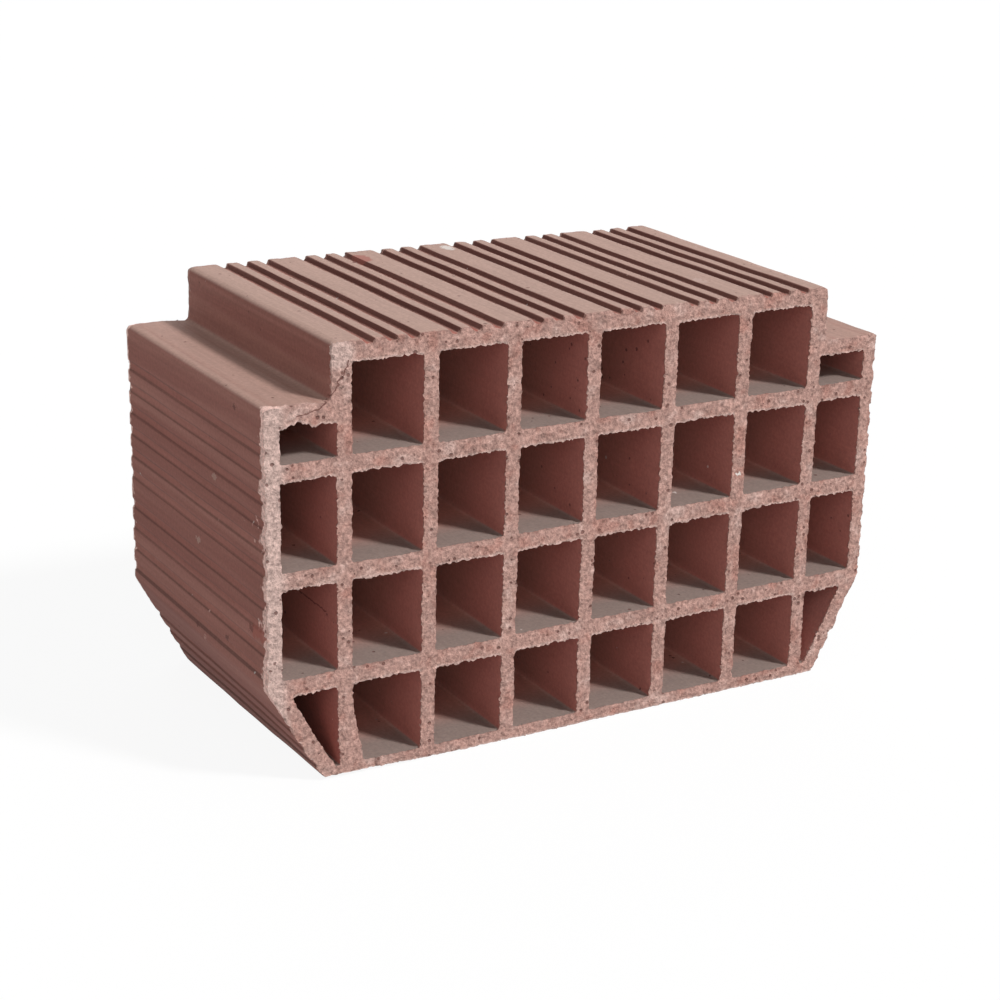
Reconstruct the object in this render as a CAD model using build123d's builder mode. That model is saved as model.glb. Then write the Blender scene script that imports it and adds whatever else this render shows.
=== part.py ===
"""Hollow clay floor block, wire-cut from an extruded column and fired.

One solid: a stepped and chamfered outline with keying grooves, pierced from
cut end to cut end by four courses of cells. Millimetres, +Z up, X across the
block, Y along the extrusion. The origin is under the middle of the block, on
the floor that it stands on.
"""

import math
import os

from build123d import *

# Overall size
block_width = 400.0
block_length = 196.0
block_height = 248.0

# Shoulders beside the raised top
shoulder_width = 38.5
shoulder_drop = 32.6
crown_radius = 4.0
shoulder_radius = 3.0
inner_corner_radius = 3.0

# Chamfers down to the narrower bottom
chamfer_width = 32.0
chamfer_height = 60.0
chamfer_radius = 3.0
foot_radius = 1.5

# Walls and webs
side_wall = 9.0
floor_wall = 7.5
roof_wall = 11.8
shoulder_wall = 10.9
chamfer_wall = 10.0
upright_web = 8.6
level_web = 9.8

# Cells
end_cell_width = 32.8
full_cells = 6
bottom_course_height = 47.2
courses = 4
cell_radius = 1.8
wedge_radius = 1.5

# Keying grooves: deep ones on the top, shallow ones on the sides and chamfers
groove_pitch = 13.3
top_groove_mouth = 6.5
top_groove_floor = 3.6
top_groove_depth = 2.8
top_groove_lean = 0.8
side_groove_mouth = 5.8
side_groove_floor = 4.4
side_groove_depth = 0.9
grooves_per_cell = 3
top_groove_shift = 2.0
lower_side_grooves = 4
lower_side_start = 67.9
upper_side_grooves = 6
upper_side_start = 126.7
chamfer_grooves = 3

# Derived sizes
half_width = block_width / 2
crown_half = half_width - shoulder_width
foot_half = half_width - chamfer_width
ledge_height = block_height - shoulder_drop
cells_half = half_width - side_wall - end_cell_width
cell_pitch = (2 * cells_half - upright_web) / full_cells
cell_width = cell_pitch - upright_web
end_cell_middle = cells_half + end_cell_width / 2
course_height = (
    block_height - floor_wall - roof_wall - bottom_course_height - (courses - 1) * level_web
) / (courses - 1)
course_pitch = course_height + level_web
bottom_course_middle = floor_wall + bottom_course_height / 2
second_course_middle = floor_wall + bottom_course_height + level_web + course_height / 2
top_course_floor = block_height - roof_wall - course_height
shoulder_cell_height = ledge_height - shoulder_wall - top_course_floor
shoulder_cell_middle = top_course_floor + shoulder_cell_height / 2
wedge_roof = floor_wall + bottom_course_height
chamfer_slope = math.hypot(chamfer_width, chamfer_height)
chamfer_angle = math.degrees(math.atan2(chamfer_height, chamfer_width))
wedge_shift = chamfer_wall * chamfer_slope / chamfer_height


def chamfer_x(height, inset=0.0):
    """Half width at a height on the chamfer, or on the line inside its wall."""
    return foot_half - inset + height * chamfer_width / chamfer_height


def groove_points(mouth, floor, depth, lean=0.0):
    """Profile of one groove in a face along X whose clay lies below it."""
    return [
        (-mouth / 2, depth),
        (-mouth / 2, 0),
        (lean - floor / 2, -depth),
        (lean + floor / 2, -depth),
        (mouth / 2, 0),
        (mouth / 2, depth),
    ]


def side_groove_points():
    """Profile of one shallow groove."""
    return groove_points(side_groove_mouth, side_groove_floor, side_groove_depth)


def top_groove_points():
    """Profile of one deep groove, steeper on its right."""
    return groove_points(top_groove_mouth, top_groove_floor, top_groove_depth, top_groove_lean)


def wedge_points(side):
    """Corners of the cell between the chamfer and the outermost upright web."""
    low = chamfer_x(floor_wall, wedge_shift)
    high = chamfer_x(wedge_roof, wedge_shift)
    return [
        (side * cells_half, floor_wall),
        (side * low, floor_wall),
        (side * high, wedge_roof),
        (side * cells_half, wedge_roof),
    ]


# Profiles, drawn flat with height along Y and stood up when the block is made
# Outline of the block
with BuildSketch() as outline:
    with BuildLine():
        Polyline(
            (-foot_half, 0),
            (foot_half, 0),
            (half_width, chamfer_height),
            (half_width, ledge_height),
            (crown_half, ledge_height),
            (crown_half, block_height),
            (-crown_half, block_height),
            (-crown_half, ledge_height),
            (-half_width, ledge_height),
            (-half_width, chamfer_height),
            close=True,
        )
    make_face()
    corners = outline.vertices().group_by(Axis.Y)
    fillet(corners[0], foot_radius)
    corners = outline.vertices().filter_by(lambda v: abs(v.Y - chamfer_height) < 0.1)
    fillet(corners, chamfer_radius)
    corners = outline.vertices().filter_by(
        lambda v: abs(v.Y - ledge_height) < 0.1 and abs(abs(v.X) - half_width) < 0.1
    )
    fillet(corners, shoulder_radius)
    corners = outline.vertices().filter_by(
        lambda v: abs(v.Y - ledge_height) < 0.1 and abs(abs(v.X) - crown_half) < 0.1
    )
    fillet(corners, inner_corner_radius)
    corners = outline.vertices().group_by(Axis.Y)[-1]
    fillet(corners, crown_radius)

# Keying grooves in the top, three over each full cell
with BuildSketch() as top_grooves:
    with Locations((top_groove_shift, block_height)):
        with GridLocations(cell_pitch, 0, full_cells, 1):
            with GridLocations(groove_pitch, 0, grooves_per_cell, 1):
                Polygon(*top_groove_points(), align=None)

# Shallow grooves in both sides
with BuildSketch() as side_grooves:
    for side in (-1, 1):
        for number in range(lower_side_grooves):
            height = lower_side_start + number * groove_pitch
            with Locations((side * half_width, height)):
                Polygon(*side_groove_points(), rotation=-90 * side, align=None)
        for number in range(upper_side_grooves):
            height = upper_side_start + number * groove_pitch
            with Locations((side * half_width, height)):
                Polygon(*side_groove_points(), rotation=-90 * side, align=None)

# The same grooves in the chamfers, counted up from the bottom edge
with BuildSketch() as chamfer_grooves_cut:
    for side in (-1, 1):
        for number in range(chamfer_grooves):
            height = (number + 1) * groove_pitch * chamfer_height / chamfer_slope
            with Locations((side * chamfer_x(height), height)):
                Polygon(
                    *side_groove_points(),
                    rotation=side * (chamfer_angle - 180),
                    align=None,
                )

# Cells: full ones, narrower ones at the ends, low ones under the shoulders
with BuildSketch() as cells:
    with Locations((0, second_course_middle + course_pitch)):
        with GridLocations(cell_pitch, course_pitch, full_cells, courses - 1):
            RectangleRounded(cell_width, course_height, cell_radius)
    with Locations((0, bottom_course_middle)):
        with GridLocations(cell_pitch, 0, full_cells, 1):
            RectangleRounded(cell_width, bottom_course_height, cell_radius)
    with Locations((0, second_course_middle + course_pitch / 2)):
        with GridLocations(2 * end_cell_middle, course_pitch, 2, courses - 2):
            RectangleRounded(end_cell_width, course_height, cell_radius)
    with Locations((0, shoulder_cell_middle)):
        with GridLocations(2 * end_cell_middle, 0, 2, 1):
            RectangleRounded(end_cell_width, shoulder_cell_height, cell_radius)

# Wedge cells above the chamfers
with BuildSketch() as wedge_cells:
    for side in (-1, 1):
        with BuildLine():
            Polyline(*wedge_points(side), close=True)
        make_face()
    roof_corners = wedge_cells.vertices().group_by(Axis.Y)[-1]
    fillet(roof_corners, wedge_radius)

# The fired block
with BuildPart() as clay_block:
    with BuildSketch(Plane.XZ.offset(-block_length / 2)):
        add(outline.sketch)
        add(top_grooves.sketch, mode=Mode.SUBTRACT)
        add(side_grooves.sketch, mode=Mode.SUBTRACT)
        add(chamfer_grooves_cut.sketch, mode=Mode.SUBTRACT)
        add(cells.sketch, mode=Mode.SUBTRACT)
        add(wedge_cells.sketch, mode=Mode.SUBTRACT)
    extrude(amount=block_length)

clay_block.part.label = "clay_block"

os.makedirs("parts", exist_ok=True)
export_step(clay_block.part, "parts/clay_block.step")

print("solids", len(clay_block.part.solids()))
print("volume, litres", round(clay_block.part.volume / 1e6, 3))
print("course height", round(course_height, 2), "cell width", round(cell_width, 2))
box = clay_block.part.bounding_box()
print("low", [round(v, 2) for v in box.min], "high", [round(v, 2) for v in box.max])
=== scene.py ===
# %% [markdown]
# # A hollow clay floor block
#
# This block is one piece of fired clay. Wet clay is pushed through a die as a
# long column, a wire cuts the column to length, and the kiln does the rest.
# That leaves two kinds of surface. The long faces are smooth and grooved,
# because the die wiped them. The two ends are torn and pale, because the wire
# pulled the clay apart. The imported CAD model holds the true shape, so the
# script starts from it and gives it those two kinds of surface.

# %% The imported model
import math

import bmesh
import bpy
import numpy as np
from mathutils import Euler, Matrix, Vector
from mathutils.geometry import delaunay_2d_cdt
from mathutils.kdtree import KDTree


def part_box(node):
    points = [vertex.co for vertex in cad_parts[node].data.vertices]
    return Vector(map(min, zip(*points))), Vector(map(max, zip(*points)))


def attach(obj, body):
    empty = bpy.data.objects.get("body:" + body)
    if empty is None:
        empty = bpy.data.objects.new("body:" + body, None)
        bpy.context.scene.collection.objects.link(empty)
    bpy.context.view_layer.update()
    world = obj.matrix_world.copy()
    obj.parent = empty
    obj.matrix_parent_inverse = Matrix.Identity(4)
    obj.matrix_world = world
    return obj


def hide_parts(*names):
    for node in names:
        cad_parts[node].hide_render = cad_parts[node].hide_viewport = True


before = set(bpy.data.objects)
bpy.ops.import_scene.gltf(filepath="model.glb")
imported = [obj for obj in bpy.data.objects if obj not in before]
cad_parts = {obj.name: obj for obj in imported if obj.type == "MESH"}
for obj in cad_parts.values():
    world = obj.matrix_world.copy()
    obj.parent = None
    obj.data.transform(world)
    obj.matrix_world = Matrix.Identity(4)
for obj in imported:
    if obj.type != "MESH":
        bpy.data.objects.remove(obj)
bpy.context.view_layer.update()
block_node = "clay_block"
low_corner, high_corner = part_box(block_node)
MM = 0.001
print("block, mm:", [round(side / MM, 1) for side in high_corner - low_corner])

# %% [markdown]
# ## The section
#
# The block has the same section all along its length, so its front end holds
# everything about its shape. The CAD mesh comes in as loose triangles. A copy
# is merged, the triangles of the front end are picked out, and the edges with
# only one such triangle are the rims: one round the block and one for each
# cell. Following them gives closed loops, with the clay always on the left.

# %% Rims of the front end
SAME_POINT = 0.001 * MM
ON_FRONT = 0.01 * MM


def front_rims(node):
    """Closed loops of (x, z) points round the front end of a CAD node."""
    mesh = bmesh.new()
    mesh.from_mesh(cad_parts[node].data)
    bmesh.ops.remove_doubles(mesh, verts=mesh.verts, dist=SAME_POINT)
    sides = {}
    for face in mesh.faces:
        if all(abs(vert.co.y - low_corner.y) < ON_FRONT for vert in face.verts):
            for side in face.loops:
                sides[side.vert.index, side.link_loop_next.vert.index] = True
    places = [(vert.co.x, vert.co.z) for vert in mesh.verts]
    mesh.free()
    following = {start: end for start, end in sides if (end, start) not in sides}
    rims = []
    while following:
        start, here = following.popitem()
        rim = [start]
        while here != rim[0]:
            rim.append(here)
            here = following.pop(here)
        rims.append(np.array([places[index] for index in rim]))
    return rims


def turned_area(points):
    """Area inside a loop, positive if it runs anticlockwise."""
    x, z = points.T
    return 0.5 * float(np.sum(x * np.roll(z, -1) - np.roll(x, -1) * z))


rims = sorted(front_rims(block_node), key=turned_area, reverse=True)
clay_area = sum(turned_area(rim) for rim in rims)
print("cells:", len(rims) - 1, "clay in the section, cm2:", round(clay_area * 1e4, 1))

# %% [markdown]
# ## Soft corners and a graded spacing
#
# Clay has no sharp corners after a die, so each loop is sampled very finely
# and smoothed a little. It is then sampled again for the mesh, with points
# close together in the bends and far apart on the flats. A mesh that is graded
# like this spends its triangles where the eye looks. The spacing may only grow
# slowly along the loop, or the shading would show the jump.
#
# The grooves are dark at the bottom, partly bare clay and partly painted shade,
# and their walls take painted shade. To know them, each point of a loop is
# compared with the clay on both sides of it: a point that lies lower than both
# is in a groove, and one whose own direction leaves the direction of the whole
# face is on a groove's wall.

# %% Smoothed loops
DENSE_STEP = 0.25 * MM
CORNER_SOFTNESS = 0.35 * MM


def unit_rows(rows):
    """Each row of an array, scaled to length 1."""
    return rows / np.maximum(np.linalg.norm(rows, axis=1, keepdims=True), 1e-12)


def smooth_round(values, reach):
    """Gaussian smoothing along a closed loop, with the reach in samples."""
    count = int(4 * reach) + 1
    weights = np.exp(-0.5 * (np.arange(-count, count + 1) / reach) ** 2)
    weights /= weights.sum()
    total = np.zeros_like(values)
    for shift, weight in zip(range(-count, count + 1), weights):
        total += weight * np.roll(values, shift, axis=0)
    return total


def outward(points, reach):
    """Directions out of the clay at each point of a dense loop."""
    along = smooth_round(np.roll(points, -1, axis=0) - np.roll(points, 1, axis=0), reach)
    along = unit_rows(along)
    return np.column_stack([along[:, 1], -along[:, 0]])


def dense_points(rim):
    """A rim as evenly spaced points with soft corners."""
    steps = np.linalg.norm(np.roll(rim, -1, axis=0) - rim, axis=1)
    travelled = np.concatenate([[0], np.cumsum(steps)])
    count = int(travelled[-1] / DENSE_STEP)
    wanted = np.arange(count) * travelled[-1] / count
    closed = np.vstack([rim, rim[:1]])
    points = np.column_stack([np.interp(wanted, travelled, closed[:, axis]) for axis in (0, 1)])
    return smooth_round(points, CORNER_SOFTNESS / DENSE_STEP)


# %% Grooves
OWN_REACH = 1.5 * DENSE_STEP  # smooths a point's own direction
FACE_REACH = 9 * MM  # smooths the grooves away and leaves the direction of the face
GROOVE_REACH = 5.0 * MM  # how far off the clay beside a groove may be
# a groove this deep also has its full painted shade at the bottom
GROOVE_FULL = 2.4 * MM  # a groove this deep is bare at the bottom
WALL_FULL = 0.4 * MM  # a wall this high counts in full
CORNER_REACH = 6 * MM
CORNER_ALIKE, STRAIGHT_ALIKE = 0.7, 0.85
WALL_SPREAD, WALL_GAIN = 0.5 * MM, 1.6
DEEP_SPREAD, DEEP_START, DEEP_LOSS, DEEP_LEAST = 1.2 * MM, 1.25, 3, 0.15


def higher_clay(points, face_way, side):
    """How far the clay on one side of each point stands above it."""
    higher = np.zeros(len(points))
    for step in range(1, int(GROOVE_REACH / DENSE_STEP) + 1):
        ahead = np.roll(points, side * step, axis=0) - points
        higher = np.maximum(higher, np.sum(ahead * face_way, axis=1))
    return higher


def groove_facts(points, way):
    """How deep in a groove each point is, and how much painted shade it gets as part of a groove's
    wall, both from 0 to 1.
    """
    face_way = outward(points, FACE_REACH / DENSE_STEP)
    sunk = [higher_clay(points, face_way, side) for side in (-1, 1)]
    groove = np.clip(np.minimum(*sunk) / GROOVE_FULL, 0, 1)
    steep = np.clip(1 - np.sum(way * face_way, axis=1), 0, 1)
    steep *= np.clip(np.maximum(*sunk) / WALL_FULL, 0, 1)
    # Near a corner of the section the face itself turns, and nothing there is a groove
    shift = int(CORNER_REACH / DENSE_STEP)
    alike = np.sum(np.roll(face_way, shift, axis=0) * np.roll(face_way, -shift, axis=0), axis=1)
    straight = np.clip((alike - CORNER_ALIKE) / (STRAIGHT_ALIKE - CORNER_ALIKE), 0, 1)
    groove *= straight
    # The painted shade of the walls spreads a little onto the clay beside them and is made
    # stronger.
    steep = smooth_round(steep * straight, WALL_SPREAD / DENSE_STEP)
    steep = np.clip(WALL_GAIN * steep, 0, 1)
    # Beside a deep groove the lamps already darken the wall
    deep_near = smooth_round(groove, DEEP_SPREAD / DENSE_STEP)
    steep *= np.clip(DEEP_START - DEEP_LOSS * deep_near, DEEP_LEAST, 1)
    return groove, steep


def dense_loop(rim):
    """A rim as dense points, with their directions out of the clay, bends and grooves."""
    points = dense_points(rim)
    way = outward(points, OWN_REACH / DENSE_STEP)
    turn = np.roll(way, -1, axis=0) - np.roll(way, 1, axis=0)
    bend = np.linalg.norm(turn, axis=1) / (2 * DENSE_STEP)
    groove, steep = groove_facts(points, way)
    return {"points": points, "way": way, "bend": bend, "groove": groove, "steep": steep}


loops = [dense_loop(rim) for rim in rims]
print("dense points:", sum(len(loop["points"]) for loop in loops))

# %% Rings of mesh points
BEND_STEP = math.radians(26)  # the most that a ring turns from one point to the next
GROWTH = 0.5  # how fast the spacing may grow along the loop
FEWEST = 8


def graded_spacing(loop, finest, widest):
    """Distance wanted between mesh points at each dense point of a loop."""
    wanted = BEND_STEP / np.maximum(loop["bend"], 1e-6)
    spacing = np.clip(wanted, finest, widest)
    for _ in range(2):
        for order in (1, -1):
            spacing = spacing[::order]
            for index in range(len(spacing)):
                limit = spacing[index - 1] + GROWTH * DENSE_STEP
                if spacing[index] > limit:
                    spacing[index] = limit
            spacing = spacing[::order]
    return spacing


def ring(loop, finest, widest):
    """One ring picked from a dense loop: each point's dense index and share of the loop."""
    spacing = graded_spacing(loop, finest, widest)
    passed = np.concatenate([[0], np.cumsum(DENSE_STEP / spacing)])
    count = max(FEWEST, int(round(passed[-1])))
    picks = np.interp(np.arange(count) * passed[-1] / count, passed, np.arange(len(passed)))
    picks = np.floor(picks).astype(int)
    return {"pick": picks, "share": picks / len(loop["points"])}


# %% [markdown]
# ## The block's mesh
#
# The walls are rings of points, one behind another from the front end to the
# back. Next to a cut the rings are fine, because the torn mouth needs it, and
# deeper in they thin out. Two rings that hold different numbers of points are
# zipped: whichever ring is behind steps on, and each step makes one triangle.
# The two ends are filled by a Delaunay triangulation, which joins the rims to a
# jittered field of points between them. Along the way each point keeps what
# the later steps ask for, such as how far it is from the cut.

# %% Mesh store
class Store:
    """Collects points with their facts, and triangles, until they become one mesh."""

    facts = ("torn", "inner", "groove", "steep", "rim_far", "skin")

    def __init__(self):
        self.places = []
        self.rim_ways = []
        self.cut_ways = []
        self.values = {fact: [] for fact in self.facts}
        self.triangles = []
        self.count = 0

    def add_points(self, xz, y, rim_way, cut_way, **values):
        """Adds points at one depth and gives back their numbers. A fact left out is 0."""
        amount = len(xz)
        self.places.append(np.column_stack([xz[:, 0], np.full(amount, y), xz[:, 1]]))
        self.rim_ways.append(np.column_stack([rim_way[:, 0], np.zeros(amount), rim_way[:, 1]]))
        self.cut_ways.append(np.tile([0.0, cut_way, 0.0], (amount, 1)))
        for fact in self.facts:
            value = np.broadcast_to(values.get(fact, 0.0), (amount,))
            self.values[fact].append(value.astype(float))
        numbers = np.arange(self.count, self.count + amount)
        self.count += amount
        return numbers

    def zip_rings(self, front, back, front_share, back_share):
        """Triangles between two closed rings, whose points run the same way round."""
        front_keys = (front_share + np.append(front_share[1:], 1 + front_share[0])) / 2
        back_keys = (back_share + np.append(back_share[1:], 1 + back_share[0])) / 2
        order = np.argsort(np.concatenate([front_keys, back_keys]), kind="stable")
        steps_front = order < len(front)
        front_at = np.cumsum(steps_front) - steps_front
        back_at = np.cumsum(~steps_front) - ~steps_front
        first = front[front_at % len(front)]
        second = back[back_at % len(back)]
        third = np.where(
            steps_front, front[(front_at + 1) % len(front)], back[(back_at + 1) % len(back)]
        )
        self.triangles.append(np.column_stack([first, second, third]))


# %% Walls from rings
FINE_FRONT = 1.05 * MM
FINE_BACK = 1.4 * MM
CELL_STATIONS = (
    # depth behind the cut, finest and widest spacing of the ring, in mm, or 0 for the cut's own
    (0.9, 0.0, 0.0),
    (2.4, 1.2, 2.2),
    (5.5, 1.2, 4.5),
    (12.0, 1.2, 8.0),
    (26.0, 1.2, 10.0),
    (55.0, 1.2, 12.0),
)
SKIN_STATIONS = (
    (0.9, 0.0, 0.0),
    (2.1, 0.8, 1.6),
    (3.8, 0.8, 2.2),
    (6.2, 0.8, 3.0),
    (9.5, 0.8, 4.0),
)
SKIN_STEP = 12.0 * MM
SKIN_SPACING = (0.8, 4.0)
FOLLOW_REACH = 2.2 * MM  # how far behind the cut the walls follow its tears
TORN_REACH = 4.0 * MM  # over which the torn look fades
block_length = high_corner.y - low_corner.y


def stations_for(is_skin):
    """Depths behind the front cut with the ring spacing wanted there, front to back."""
    table = SKIN_STATIONS if is_skin else CELL_STATIONS
    front = [(0.0, 0.0, 0.0)] + [(depth * MM, near * MM, far * MM) for depth, near, far in table]
    back = [(block_length - depth, near, far) for depth, near, far in reversed(front)]
    between = []
    if is_skin:
        reach = back[0][0] - front[-1][0]
        count = int(reach / SKIN_STEP)
        near, far = (value * MM for value in SKIN_SPACING)
        between = [(front[-1][0] + reach * (k + 1) / (count + 1), near, far) for k in range(count)]
    return front + between + back


def add_walls(store, loop, is_skin):
    """Adds one loop's walls, and gives back its rims at the two cuts."""
    rings = {}
    stations = stations_for(is_skin)
    previous = None
    rims_made = []
    for depth, finest, widest in stations:
        from_front = depth < block_length / 2
        fine = FINE_FRONT if from_front else FINE_BACK
        key = (finest or fine, widest or fine)
        if key not in rings:
            rings[key] = ring(loop, *key)
        pick, share = rings[key]["pick"], rings[key]["share"]
        behind = min(depth, block_length - depth)
        numbers = store.add_points(
            loop["points"][pick],
            low_corner.y + depth,
            loop["way"][pick],
            (-1.0 if from_front else 1.0) * math.exp(-((behind / FOLLOW_REACH) ** 2)),
            torn=math.exp(-behind / TORN_REACH),
            inner=not is_skin,
            groove=loop["groove"][pick] * is_skin,
            steep=loop["steep"][pick] * is_skin,
            rim_far=behind,
            skin=is_skin,
        )
        if previous is not None:
            store.zip_rings(previous[0], numbers, previous[1], share)
        if behind == 0:
            rims_made.append((numbers, pick))
        previous = (numbers, share)
    return rims_made


store = Store()
rim_sets = [add_walls(store, loop, is_skin=number == 0) for number, loop in enumerate(loops)]
wall_triangles = sum(len(some) for some in store.triangles)
print("points in the walls:", store.count, "triangles:", wall_triangles)

# %% The two cut ends
FIELD_FRONT = 1.4 * MM
FIELD_BACK = 1.9 * MM
JITTER = 0.28
HEX_ROW = 0.866  # spacing of the rows of a hexagonal field, as a share of the spacing in a row
RIM_GAP = 0.6  # how far the field stays from the rims, as a share of its spacing
CUT_SEED = 41
WHOLE_HULL = 0  # makes the triangulation keep every face, so that the rims can sort them
TOUCHING = 1e-9


def inside_clay(points, outlines):
    """True for each point with an odd number of outline edges to its right."""
    odd = np.zeros(len(points), bool)
    for outline in outlines:
        ends = np.roll(outline, -1, axis=0)
        for (x0, z0), (x1, z1) in zip(outline, ends):
            if z0 == z1:
                continue
            crosses = (points[:, 1] < z0) != (points[:, 1] < z1)
            at = x0 + (points[:, 1] - z0) * (x1 - x0) / (z1 - z0)
            odd ^= crosses & (points[:, 0] < at)
    return odd


def field_points(spacing, rim_tree, seed):
    """A jittered hexagonal field over the section, kept clear of the rims."""
    random = np.random.default_rng(seed)
    rows = np.arange(low_corner.z, high_corner.z, spacing * HEX_ROW)
    columns = np.arange(low_corner.x, high_corner.x, spacing)
    x, z = np.meshgrid(columns, rows)
    x[1::2] += spacing / 2
    field = np.column_stack([x.ravel(), z.ravel()])
    field += random.uniform(-JITTER, JITTER, field.shape) * spacing
    field = field[inside_clay(field, rims)]
    far = np.array([rim_tree.find((point[0], point[1], 0))[2] for point in field])
    clear = far > RIM_GAP * spacing
    return field[clear], far[clear]


def clay_side(triangles, rim_edges):
    """The triangles with clay in them, reached from the rims, which have the clay on their left."""
    owner = {}
    for number, (a, b, c) in enumerate(triangles.tolist()):
        owner.update({(a, b): number, (b, c): number, (c, a): number})
    walls = set(rim_edges)
    reached = {owner[edge] for edge in rim_edges}
    waiting = list(reached)
    while waiting:
        a, b, c = triangles[waiting.pop()].tolist()
        for start, end in ((a, b), (b, c), (c, a)):
            if (start, end) in walls or owner[end, start] in reached:
                continue
            reached.add(owner[end, start])
            waiting.append(owner[end, start])
    return triangles[sorted(reached)]


def add_cut(store, end, spacing, cut_way):
    """Fills one end of the block between its rims."""
    numbers = np.concatenate([made[end][0] for made in rim_sets])
    edges = []
    start = 0
    for made in rim_sets:
        size = len(made[end][0])
        edges += [(start + k, start + (k + 1) % size) for k in range(size)]
        start += size
    rim_xz = np.vstack([loop["points"][made[end][1]] for loop, made in zip(loops, rim_sets)])
    rim_way = np.vstack([loop["way"][made[end][1]] for loop, made in zip(loops, rim_sets)])
    tree = KDTree(len(rim_xz))
    for index, (x, z) in enumerate(rim_xz):
        tree.insert((x, z, 0), index)
    tree.balance()
    field, far = field_points(spacing, tree, CUT_SEED + end)
    nearest = [tree.find((x, z, 0))[1] for x, z in field]
    near_skin = np.array(nearest) < len(rim_sets[0][end][0])
    y = low_corner.y if end == 0 else high_corner.y
    field_numbers = store.add_points(
        field, y, rim_way[nearest], cut_way, torn=1.0, rim_far=far, skin=near_skin
    )
    numbers = np.concatenate([numbers, field_numbers])
    flat = [Vector(point) for point in np.vstack([rim_xz, field])]
    _, _, triangles, origins, _, _ = delaunay_2d_cdt(flat, edges, [], WHOLE_HULL, TOUCHING)
    original = np.array([source[0] for source in origins])
    triangles = numbers[clay_side(original[np.array(triangles)], edges)]
    if cut_way > 0:
        triangles = triangles[:, ::-1]
    store.triangles.append(triangles)
    return len(triangles)


front_triangles = add_cut(store, 0, FIELD_FRONT, -1.0)
back_triangles = add_cut(store, 1, FIELD_BACK, 1.0)
print("triangles in the front cut:", front_triangles, "in the back cut:", back_triangles)


# %% One mesh with its facts as attributes
def mesh_from(store, name):
    """Turns the store into a smooth-shaded mesh that keeps each point's facts."""
    places = np.vstack(store.places)
    triangles = np.vstack(store.triangles)
    mesh = bpy.data.meshes.new(name)
    mesh.vertices.add(len(places))
    mesh.vertices.foreach_set("co", places.ravel())
    mesh.loops.add(triangles.size)
    mesh.loops.foreach_set("vertex_index", triangles.ravel())
    mesh.polygons.add(len(triangles))
    mesh.polygons.foreach_set("loop_start", np.arange(len(triangles)) * 3)
    mesh.polygons.foreach_set("use_smooth", np.ones(len(triangles), bool))
    mesh.update(calc_edges=True)
    for fact in store.facts:
        layer = mesh.attributes.new(fact, "FLOAT", "POINT")
        layer.data.foreach_set("value", np.concatenate(store.values[fact]))
    for way_name, ways in (("rim_way", store.rim_ways), ("cut_way", store.cut_ways)):
        layer = mesh.attributes.new(way_name, "FLOAT_VECTOR", "POINT")
        layer.data.foreach_set("vector", np.vstack(ways).ravel())
    return mesh


def add_object(name, data):
    """A new object in the scene, at the origin."""
    added = bpy.data.objects.new(name, data)
    bpy.context.scene.collection.objects.link(added)
    return added


block = add_object("fired_clay_block", mesh_from(store, "clay_block_mesh"))
print("block mesh triangles:", len(block.data.polygons))

# %% [markdown]
# ## Helpers for node trees
#
# The relief and the clay's colour are both made of nodes. `place` adds a node
# and fills its inputs: an input may be a number or another node's output, and
# the helper links or sets it as needed. `maths` and `product` are short forms for
# the many small sums between them. Noise in Blender runs from 0 to 1 but is mostly
# found between 0.3 and 0.7, so `by_noise` spreads that part over the values wanted.

# %% Node helpers
USUAL_NOISE = (0.3, 0.7)
NOISE_MIDDLE = (0.5, 0.5, 0.5)


def place(tree, kind, inputs=(), **settings):
    """Adds a node to a tree, sets its options, and fills its inputs with values or links."""
    node = tree.nodes.new(kind)
    for name, value in settings.items():
        setattr(node, name, value)
    for socket, value in dict(inputs).items():
        if isinstance(value, bpy.types.NodeSocket):
            tree.links.new(value, node.inputs[socket])
        else:
            node.inputs[socket].default_value = value
    return node


def maths(tree, operation, *values, clamp=False):
    """One Math node, with its output."""
    node = place(tree, "ShaderNodeMath", enumerate(values), operation=operation, use_clamp=clamp)
    return node.outputs[0]


def product(tree, *values):
    """Several values multiplied together."""
    total = values[0]
    for value in values[1:]:
        total = maths(tree, "MULTIPLY", total, value)
    return total


def vectors(tree, operation, *values):
    """One Vector Math node, with its output. Scale takes its number last."""
    inputs = dict(enumerate(values))
    if operation == "SCALE":
        inputs = {0: values[0], "Scale": values[1]}
    node = place(tree, "ShaderNodeVectorMath", inputs, operation=operation)
    return node.outputs["Value" if operation in ("DOT_PRODUCT", "LENGTH") else "Vector"]


def span(tree, value, low, high, to_low=0.0, to_high=1.0, smooth=True):
    """A value from low to high, turned into one from to_low to to_high and held there."""
    inputs = {0: value, 1: low, 2: high, 3: to_low, 4: to_high}
    kind = "SMOOTHSTEP" if smooth else "LINEAR"
    return place(tree, "ShaderNodeMapRange", inputs, interpolation_type=kind).outputs[0]


def noise(tree, place_on, wave, detail=2.0, rough=0.5, output="Fac"):
    """Noise with waves of one length in metres."""
    inputs = {"Vector": place_on, "Scale": 1 / wave, "Detail": detail, "Roughness": rough}
    return place(tree, "ShaderNodeTexNoise", inputs).outputs[output]


def by_noise(tree, value, low, high, smooth=False):
    """Noise spread from a low value to a high one."""
    return span(tree, value, *USUAL_NOISE, low, high, smooth=smooth)


def parts(tree, vector):
    """The three parts of a vector."""
    return place(tree, "ShaderNodeSeparateXYZ", {0: vector}).outputs


def own_tree(owner):
    """The node tree of a new material or world, emptied."""
    owner.use_nodes = True
    owner.node_tree.nodes.clear()
    return owner.node_tree


# %% [markdown]
# ## What the wire did
#
# A wire drags grains along and tears the clay open, so each cut end is rough,
# the mouths of the cells are ragged, and crumbs hang from the webs. But for one
# broken ceiling, none of that is placed by hand: it follows a few rules over the
# whole end, which is what Geometry Nodes are for. One tree moves the points of the
# mesh. Its inputs are the sizes of each effect, so that any of them can be turned
# down to nothing and the others looked at alone.

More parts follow.
